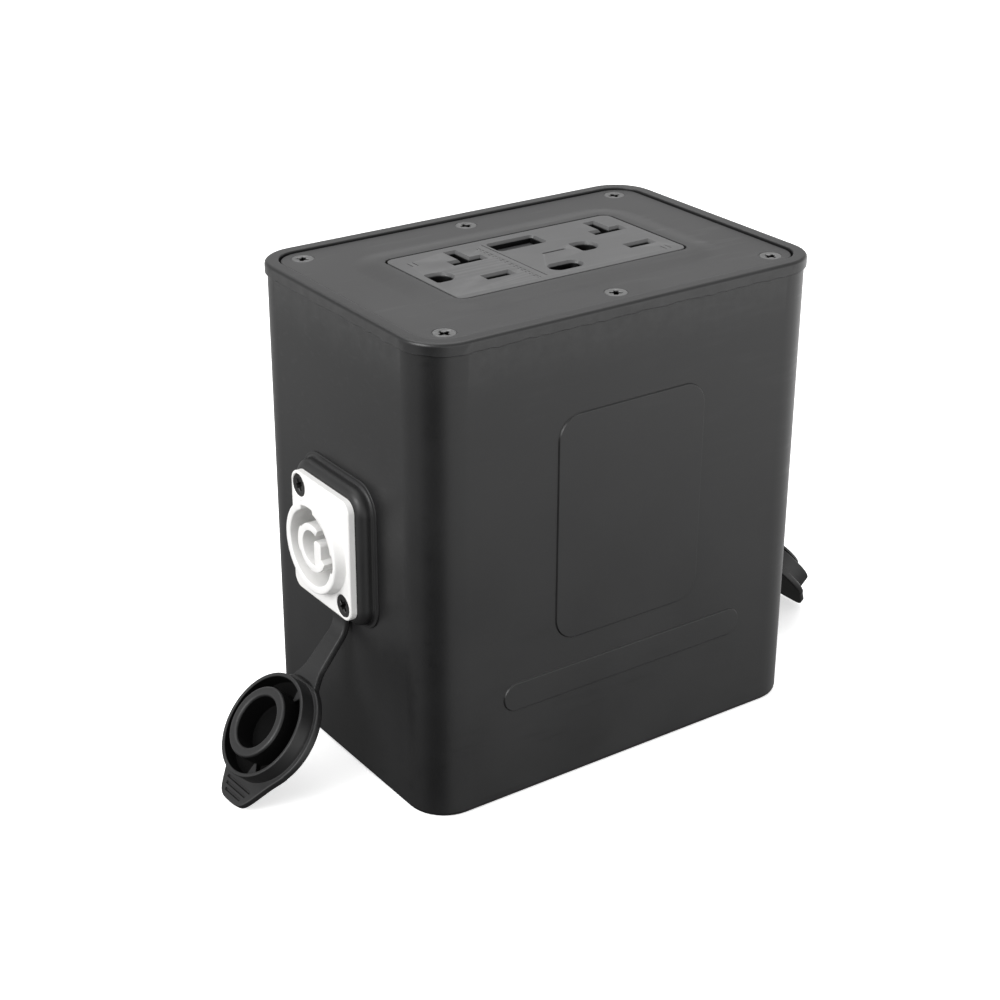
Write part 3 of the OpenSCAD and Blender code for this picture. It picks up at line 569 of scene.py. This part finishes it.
shutter_plastic = moulded("shutter_matt", SHUTTER_DARK, SHUTTER_LIGHT, 0.6, 0.3, 0.004)
back_plastic = moulded("back_body_matt", (0.012, 0.012, 0.013), (0.020, 0.020, 0.021), 0.55)
plated = metal("plated_steel", (0.44, 0.45, 0.46), (0.60, 0.61, 0.62), 0.30)
tinned = metal("tinned_brass", (0.50, 0.48, 0.43), (0.66, 0.63, 0.56), 0.30)
dress(shutter_plastic, "shutter_left", "shutter_right", "usb_c_tongue")
dress(back_plastic, "receptacle_body")
dress(plated, "receptacle_yoke", "yoke_screws")
dress(metal("dark_nickel", (0.020, 0.020, 0.021), (0.040, 0.040, 0.041), 0.42), "usb_a_shell",
      "usb_c_shell")
dress(brass, "hot_contact_bus", "neutral_contact_bus", "ground_contact_bus", "terminal_screws")
dress(moulded("tongue_matt", (0.010, 0.010, 0.011), (0.018, 0.018, 0.019), 0.5), "usb_a_tongue")

# A wave of flat spring steel lies beside each shutter, between its lug and the end of the pocket.
# The sliding shutter presses it together; the wave is drawn at rest.
SPRING_X, SPRING_SWING, SPRING_T, SPRING_FOLDS = 5.8, 0.9, 0.3, 12
SPRING_Y, SPRING_Z, SHUTTER_TRAVEL = (3.2, 15.1), (116.5, 117.5), 3.2
t = np.linspace(0, SPRING_FOLDS, SPRING_FOLDS * 8 + 1)
wave = np.stack([SPRING_X + SPRING_SWING / 2 * (1 - np.cos(np.pi * t)),
                 SPRING_Y[0] + (SPRING_Y[1] - SPRING_Y[0]) * t / SPRING_FOLDS], -1)
ribbon = np.concatenate([wave + (SPRING_T, 0), wave[::-1]])
for name, x0 in zip(("left", "right"), OUTLETS):
    strip = rise(ribbon + (x0, 0), [(0, SPRING_Z[0]), (0, SPRING_Z[1])])
    spring = build(name + "_shutter_spring", [skin(strip), fill(strip[-1]), fill(strip[0])], plated)
    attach(spring, "box")
    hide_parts("shutter_spring_" + name)
    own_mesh(spring)

# The charger board is green lacquer over copper tracks; its transformer and capacitors hang
# under it.
board, recipe = new_material("green_board")
tracks = recipe.step(speckle(recipe, 1.6, 1.0, (6, 1, 1)), 0.50, 0.54)
coat(recipe, recipe.blend(tracks, (0.010, 0.075, 0.030), (0.030, 0.150, 0.060)),
     tracks * 0.08 + 0.28, tracks, 0.03)
dress(board, "usb_board")
dress(moulded("board_parts_matt", (0.014, 0.014, 0.016), (0.030, 0.030, 0.034), 0.5),
      "usb_board_parts")

# ==== Side connectors ===========================================================================
# A one-piece connector in hard plastic, white for the outlet and blue for the inlet: a square
# flange with rounded corners and a round collar whose face slopes to the bore. Two coding
# grooves lie in the bore and a keyed tube stands in it. Two black screws hold the flange.
SOCKET_Z, GASKET_FACE, FLANGE_FACE, COLLAR_FACE = 60.0, 4.0, 5.8, 8.7
FLANGE_X, FLANGE_Y, FLANGE_R = 13.0, 15.5, 3.0
COLLAR_R, BORE_R, BORE_FLOOR, BARREL_END = 11.8, 9.4, -14.0, -18.0
KEYS = ((97.0, 15.0, 0.95), (-3.0, 13.0, 0.8))
KEY_END = -8.0
CORE_R, CORE_BORE, CORE_FACE = 6.05, 4.25, 8.2
CORE_GAP = (62.0, 338.0)
CORE_STEP = (140.0, 208.0, 0.45)
TONGUE = (1.55, 3.5, 1.0, (2.55, -1.0))
FLANGE_SCREW = (9.5, 12.0)
FLANGE_HEAD_R, FLANGE_HEAD_H, FLANGE_SCREW_L = 2.8, 1.6, 14.0
FLANGE_SINK_R, FLANGE_SINK_H = 2.9, 1.4
WHITE_DARK, WHITE_LIGHT = (0.82, 0.815, 0.80), (0.87, 0.865, 0.855)
BLUE_DARK, BLUE_LIGHT = (0.020, 0.075, 0.33), (0.030, 0.100, 0.42)
SIDES = (("outlet", -1, 3.25, moulded("white_plastic", WHITE_DARK, WHITE_LIGHT, 0.38, 0.4, 0.004)),
         ("inlet", 1, -0.8, moulded("blue_plastic", BLUE_DARK, BLUE_LIGHT, 0.36, 0.4, 0.004)))
black_steel = metal("black_steel", (0.045, 0.045, 0.045), (0.085, 0.085, 0.085), 0.40, 0.5,
                    (1, 1, 1))


def on_side(way):
    """Placement on an end wall: z points out of the wall, y up and x along it. `way` is -1 on
    the outlet's wall and 1 on the inlet's."""
    return lambda x, y, z: (way * (WALL_X + z), way * x, SOCKET_Z + y)


def keyed(r, steps=144):
    """The bore's outline: a circle of radius r with the coding grooves pushed out of it."""
    a = np.linspace(0, 360, steps, endpoint=False)
    radius = np.full(steps, float(r))
    for middle, half, depth in KEYS:
        off = np.abs((a - middle + 180) % 360 - 180)
        radius += depth * np.clip((half + 1.2 - off) / 1.6, 0, 1)
    return np.stack([radius * np.cos(np.radians(a)), radius * np.sin(np.radians(a))], -1)


def sweep_arc(r0, r1, start, end, steps=44):
    """Counter-clockwise outline of a ring segment; its outer side may carry a step."""
    a = np.linspace(start, end, steps)
    bump = CORE_STEP[2] * np.clip((np.minimum(a - CORE_STEP[0], CORE_STEP[1] - a)) / 2, 0, 1)
    outer = (r1 + bump)[:, None] * np.stack([np.cos(np.radians(a)), np.sin(np.radians(a))], -1)
    inner = r0 * np.stack([np.cos(np.radians(a[::-1])), np.sin(np.radians(a[::-1]))], -1)
    return np.concatenate([outer, inner])


def block_of(outline, low, high, edge=0.2):
    """A closed block on an outline, its upper edge broken."""
    wall = rise(outline, [(0, low), (0, high - edge), (-edge * 0.3, high - edge * 0.3),
                          (-edge, high)])
    return [skin(wall), fill(wall[-1]), fill(wall[0])]


for side, way, _, plastic in SIDES:
    place = on_side(way)
    spots = [(-s * FLANGE_SCREW[0], s * FLANGE_SCREW[1]) for s in (-1, 1)]
    flange = rise(rounded_rect(FLANGE_X, FLANGE_Y, FLANGE_R, 10),
                  [(0, GASKET_FACE), (0, FLANGE_FACE - 0.45)]
                  + arc(-0.45, FLANGE_FACE - 0.45, 0.45, 0, 90, 5))
    ring = circle(COLLAR_R, 144)
    collar = rise(ring, [(0.35, FLANGE_FACE), (0.1, FLANGE_FACE + 0.08), (0, FLANGE_FACE + 0.35),
                         (-0.25, FLANGE_FACE + 1.6), (-0.45, COLLAR_FACE - 0.5)]
                  + arc(-0.95, COLLAR_FACE - 0.5, 0.5, 0, 90, 5))
    mouth = rise(keyed(BORE_R), arc(0.35, COLLAR_FACE - 0.35, 0.35, 90, 180, 4)
                 + [(0, KEY_END)])
    bore = rise(circle(BORE_R, 144), [(0, KEY_END), (0, BORE_FLOOR)])
    barrel = rise(ring, [(0, GASKET_FACE), (0, BARREL_END + 0.3), (-0.3, BARREL_END)])
    holes = [sink(spot, FLANGE_FACE, GASKET_FACE, FLANGE_SINK_R, HOLE_R, FLANGE_SINK_H)
             for spot in spots]
    shell = [skin(flange), skin(collar), skin(mouth), skin(bore), skin(barrel), *map(skin, holes),
             fill(flange[-1], collar[0], *(h[0] for h in holes)),
             fill(collar[-1], mouth[0]), fill(mouth[-1], bore[0]), fill(bore[-1]),
             fill(flange[0], barrel[0], *(h[-1] for h in holes)), fill(barrel[-1])]
    shell = build(side + "_connector", [lift(part, place) for part in shell], plastic)
    core = block_of(sweep_arc(CORE_BORE, CORE_R, *CORE_GAP), BORE_FLOOR + 0.02, CORE_FACE)
    ax, ay, r, middle = TONGUE
    core += block_of(rounded_rect(ax, ay, r, 8, middle), BORE_FLOOR + 0.02, CORE_FACE - 0.05)
    core += block_of(circle(CORE_BORE + 0.1, 64), BORE_FLOOR + 0.02, BORE_FLOOR + 2)
    core = build(side + "_keyed_core", [lift(part, place) for part in core], plastic)
    angles = np.random.default_rng(7 + way).uniform(0, 90, 2)
    screws = []
    for (cx, cy), angle in zip(spots, angles):
        fixing = screw(FLANGE_HEAD_R, FLANGE_HEAD_H, SHANK_R, FLANGE_SCREW_L, angle)
        screws += [lift(part, lambda x, y, z: place(x + cx, y + cy, z + FLANGE_FACE - 0.1))
                   for part in fixing]
    screws = build(side + "_flange_screws", screws, black_steel)
    for piece, node, finish in ((shell, "_shell", side + "_plastic"),
                                (core, "_core", side + "_plastic"),
                                (screws, "_screws", "black_steel")):
        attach(piece, "box")
        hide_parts(side + node)
    dress(tinned, side + "_contacts")
    dress(plated, side + "_nuts")

# ==== Gaskets ===================================================================================
# One black rubber moulding per side makes gasket, strap and dust cap. Its gasket end is a frame
# under the flange: a thin lip on the wall, then a shoulder with a soft round top.
GASKET_X, GASKET_Y, GASKET_R = 16.5, 19.0, 7.0
GASKET_BORE = 12.1
LIP, FILLET, SHOULDER = (-0.25, 0.2, 0.25), (-0.55, 1.15, 0.7), (-3.35, 1.75, 2.1)

for side, way, *_ in SIDES:
    outer = rise(rounded_rect(GASKET_X, GASKET_Y, GASKET_R, 14),
                 [(0, 0), (0, LIP[1])] + arc(*LIP, 0, 90, 4) + arc(*FILLET, 270, 180, 6)
                 + arc(*SHOULDER, 0, 90, 12) + [(SHOULDER[0] - 0.05, GASKET_FACE)])
    holes = [rise(circle(r, steps, spot), [(0, GASKET_FACE), (0, 0)])
             for r, steps, spot in ((GASKET_BORE, 96, (0, 0)), (HOLE_R, 24, (-9.5, 12)),
                                    (HOLE_R, 24, (9.5, -12)))]
    parts = [skin(outer), *map(skin, holes), fill(outer[-1], *(h[0] for h in holes)),
             fill(outer[0], *(h[-1] for h in holes))]
    gasket = build(side + "_gasket_frame", [lift(part, on_side(way)) for part in parts], rubber)
    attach(gasket, "box")
    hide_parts(side + "_gasket")

# ==== Straps ====================================================================================
# The strap leaves the gasket's lower edge, bends out from the wall and widens into the cap. It
# is drawn in three lengths.
HANG = np.radians(42.3)
ROOT_Y, ROOT_Z, ROOT_SOFT = -22.6, 1.5, 2.4
PATH_START, PATH_END = -8, 20
STRAP_T, STRAP_EDGE = 1.8, 0.45
STRAP_W, STRAP_WIDENS, FLARE, FLARE_START = 5.5, 0.10, 3.4, 11.0
CAP_R, CAP_Y = 14.6, -29.6
LENGTHS = (("root", "box", "upper", (-5.0, 3.75), (-3.0, 3.0)),
           ("middle", "upper", "lower", (3.75, 11.5), (4.5, 10.5)),
           ("neck", "lower", "cap", (11.5, 15.0), (12.0, 15.0)))


def hanging(way, lean):
    """Placement in the hanging frame: origin on the first bend, the strap along -y and the open
    side of the cap facing +z."""
    place, tilt = on_side(way), np.radians(lean)

    def put(x, y, z):
        up = y * np.cos(HANG) + z * np.sin(HANG) + ROOT_Y
        out = -y * np.sin(HANG) + z * np.cos(HANG) + ROOT_Z
        return place(x * np.cos(tilt) - up * np.sin(tilt), x * np.sin(tilt) + up * np.cos(tilt),
                     out)
    return put


def strap_path(s):
    """Centre line at distance s below the first bend, and how far it leans from the hanging
    direction: a stub along the wall, a round bend, then straight."""
    fine = np.linspace(PATH_START, PATH_END, 561)
    bend = HANG * np.clip((ROOT_SOFT - fine) / (2 * ROOT_SOFT), 0, 1)
    ahead = -np.stack([np.cos(bend), np.sin(bend)], -1)
    steps = (ahead[1:] + ahead[:-1]) / 2 * (fine[1] - fine[0])
    line = np.concatenate([np.zeros((1, 2)), np.cumsum(steps, 0)])
    line += (-PATH_END, 0) - line[-1]
    return np.interp(s, fine, line[:, 0]), np.interp(s, fine, line[:, 1]), np.interp(s, fine, bend)


def strap_length(start, end, rows=24):
    """One length of strap. Its section is a flat bar with round edges; the last row of the
    lowest length follows the round edge of the cap's plate."""
    s = np.linspace(start, end, rows)
    y, z, bend = (v[:, None] for v in strap_path(s))
    flare = np.clip((s - FLARE_START) / (15.0 - FLARE_START), 0, 1)[:, None]
    width = STRAP_W + STRAP_WIDENS * s[:, None] + FLARE * flare ** 2
    section = rounded_rect(1, STRAP_T / 2, STRAP_EDGE, 4)
    side = np.sign(section[:, 0]) * (np.abs(section[:, 0]) - 1)
    x = np.sign(section[:, 0]) * width / 2 + side
    q = section[:, 1]
    hug = flare ** 2 * (CAP_R - np.sqrt(CAP_R ** 2 - x ** 2))
    grid = np.stack([x, y - q * np.sin(bend) - hug, z + q * np.cos(bend)], -1)
    ends = list(range(len(section)))
    return [skin(grid), (grid[0], [ends]), (grid[-1], [ends])]


for side, way, lean, _ in SIDES:
    put = hanging(way, lean)
    bodies = {"box": "box", "upper": side + "_strap_upper_link",
              "lower": side + "_strap_lower_link", "cap": side + "_dust_cap"}
    for name, above, below, span, bends in LENGTHS:
        parts = [lift(part, put) for part in strap_length(*span)]
        length = build(side + "_strap_" + name, parts, rubber, 50.0)
        middle = [[v / 1000.0 for v in put(0.0, *(float(c) for c in strap_path(s)[:2]))]
                  for s in bends]
        bodies[above]
        bodies[below]
        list(middle)
        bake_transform(length)
        if name != "neck":
            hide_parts(side + ("_strap_upper" if name == "root" else "_strap_lower"))

# ==== Dust caps =================================================================================
# A thin round plate with a grooved pull tab. One ring stands on it to slip over the collar and a
# thicker one to plug the socket, with two webs between them and painted shade down inside.
# Cap and strap are one moulding.
RING_R, RING_BORE, RING_TOP = 13.4, 12.4, 4.9
PLUG_R, PLUG_BORE, PLUG_TOP, PLUG_EDGE = 9.05, 6.6, 6.8, 0.7
TAB_SIDE, TAB_TURN, TAB_END, TAB_SOFT, TAB_JOIN = 14.3, 30.0, 19.8, 16.0, 40.0
GRIP_Y, GRIP_PITCH, GRIP_X, GRIP_NARROWS = -15.1, 1.4, 5.6, 0.95
NECK_X = 5.9
WEB_ANGLES, WEB_TOP = (75, 288), 2.2


def cap_outline(steps=288):
    """Plate outline: disc or tab, whichever is wider at that angle, joined by a high power mean.
    The tab lies inside three lines, two that touch the disc and one across its end, and its
    corners are rounded by a lower power."""
    a = 2 * np.pi * (np.arange(steps) + 0.5) / steps
    tilt = np.radians(TAB_TURN)
    edges = [(np.cos(tilt), -np.sin(tilt), TAB_SIDE), (-np.cos(tilt), -np.sin(tilt), TAB_SIDE),
             (0, -1, TAB_END)]
    lean = [np.clip((np.cos(a) * x + np.sin(a) * y) / d, 0, None) for x, y, d in edges]
    tab = sum(v ** TAB_SOFT for v in lean) + 1e-30
    tab = np.where(np.sin(a) < -np.sin(tilt), tab ** (-1 / TAB_SOFT), 0)
    r = (CAP_R ** TAB_JOIN + tab ** TAB_JOIN) ** (1 / TAB_JOIN)
    return np.stack([r * np.cos(a), r * np.sin(a)], -1)


plate_top = STRAP_T / 2
outline = cap_outline()
plate = rise(outline, arc(-0.45, 0.45 - plate_top, 0.45, -90, 0)
             + arc(-0.45, plate_top - 0.45, 0.45, 0, 90))
at_neck = np.clip((NECK_X - np.abs(outline[:, 0])) / 0.8, 0, 1) * (outline[:, 1] > 0)
plate[:, :, :2] += at_neck[None, :, None] * (outline[None] - plate[:, :, :2])
to_plug, to_bore, to_in = PLUG_R - RING_R, PLUG_BORE - RING_R, RING_BORE - RING_R
rings = rise(circle(RING_R, 128),
             [(0.3, plate_top), (0.08, plate_top + 0.08), (0, plate_top + 0.3)]
             + arc(-0.35, RING_TOP - 0.35, 0.35, 0, 90)
             + arc(to_in + 0.35, RING_TOP - 0.35, 0.35, 90, 180)
             + [(to_in, plate_top + 0.3), (to_in - 0.1, plate_top + 0.1), (to_in - 0.3, plate_top),
                (to_plug + 0.3, plate_top), (to_plug + 0.1, plate_top + 0.1),
                (to_plug, plate_top + 0.3)]
             + arc(to_plug - PLUG_EDGE, PLUG_TOP - PLUG_EDGE, PLUG_EDGE, 0, 90)
             + arc(to_bore + PLUG_EDGE, PLUG_TOP - PLUG_EDGE, PLUG_EDGE, 90, 180)
             + [(to_bore, plate_top + 0.3), (to_bore - 0.1, plate_top + 0.1),
                (to_bore - 0.3, plate_top)])
grips = [rise(rounded_rect(GRIP_X - i * GRIP_NARROWS, 0.3, 0.28, 4, (0, GRIP_Y - i * GRIP_PITCH)),
              [(0.08, plate_top), (0, plate_top - 0.1), (-0.08, plate_top - 0.45)])
         for i in range(3)]
cap_parts = [skin(plate), skin(rings), fill(plate[0]), fill(rings[-1]), *map(skin, grips),
             *(fill(g[-1]) for g in grips),
             fill(plate[-1], rings[0], *(g[0] for g in grips))]
for angle in np.radians(WEB_ANGLES):
    c, s = np.cos(angle), np.sin(angle)
    wedge = np.array([(PLUG_R - 0.3, -0.35), (RING_BORE + 0.2, -2.0), (RING_BORE + 0.2, 2.0),
                      (PLUG_R - 0.3, 0.35)]) @ np.array([(c, s), (-s, c)])
    web = rise(wedge, [(0, plate_top - 0.1), (0, WEB_TOP - 0.2), (-0.12, WEB_TOP)])
    cap_parts += [skin(web), fill(web[-1]), fill(web[0])]
cap_parts = [lift(part, lambda x, y, z: (x, y + CAP_Y, z)) for part in cap_parts]
# Painted shade: a near-black, dull rubber for the faces down between and inside the rings.
painted_shade_rubber = moulded("rubber_painted_shade", (0.0010, 0.0010, 0.0010), (0.0025, 0.0025, 0.0025), 0.75,
                        0.25, 0.003, **{"Specular IOR Level": 0.10})


def find_shaded_faces(mesh, centre, axis):
    """Faces down between or inside the rings, told by the height h of a face's middle along the
    cap's axis and its distance r from that axis: r * r = |v| ** 2 - h * h."""
    v = np.array([face.center for face in mesh.polygons]) * 1000.0 - centre
    h = v @ axis
    r = np.sqrt(np.maximum((v ** 2).sum(1) - h ** 2, 0))
    inner = np.where(r < PLUG_BORE + 0.1, h < PLUG_TOP - PLUG_EDGE, h < RING_TOP - 0.35)
    return inner & (r < RING_BORE + 0.1) & (h > plate_top - 0.05) & (np.abs(h - WEB_TOP) > 0.15)


for side, way, lean, _ in SIDES:
    put = hanging(way, lean)
    cap = build(side + "_cap_moulding", [lift(p, put) for p in cap_parts], rubber)
    cap.data.materials.append(painted_shade_rubber)
    centre, above = (np.array(put(0.0, CAP_Y, h)) for h in (0.0, 1.0))
    # These faces take the near-black rubber: painted shade down between and inside the rings.
    shaded_faces = find_shaded_faces(cap.data, centre, above - centre)
    cap.data.polygons.foreach_set("material_index", shaded_faces.astype(np.int32))
    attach(cap, side + "_dust_cap")
    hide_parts(side + "_cap")

# ==== Wiring ====================================================================================
# Stranded copper in smooth plastic: black for hot, white for neutral, green for earth, with
# tinned crimp terminals on the connector tabs and under the receptacle's screws.
for name, dark, light in (("hot", (0.010, 0.010, 0.010), (0.018, 0.018, 0.018)),
                          ("neutral", (0.60, 0.60, 0.58), (0.72, 0.72, 0.70)),
                          ("ground", (0.015, 0.120, 0.030), (0.025, 0.170, 0.045))):
    dress(moulded(name + "_insulation", dark, light, 0.42, 0.6, 0.006), name + "_wires")
dress(tinned, "wire_terminals")
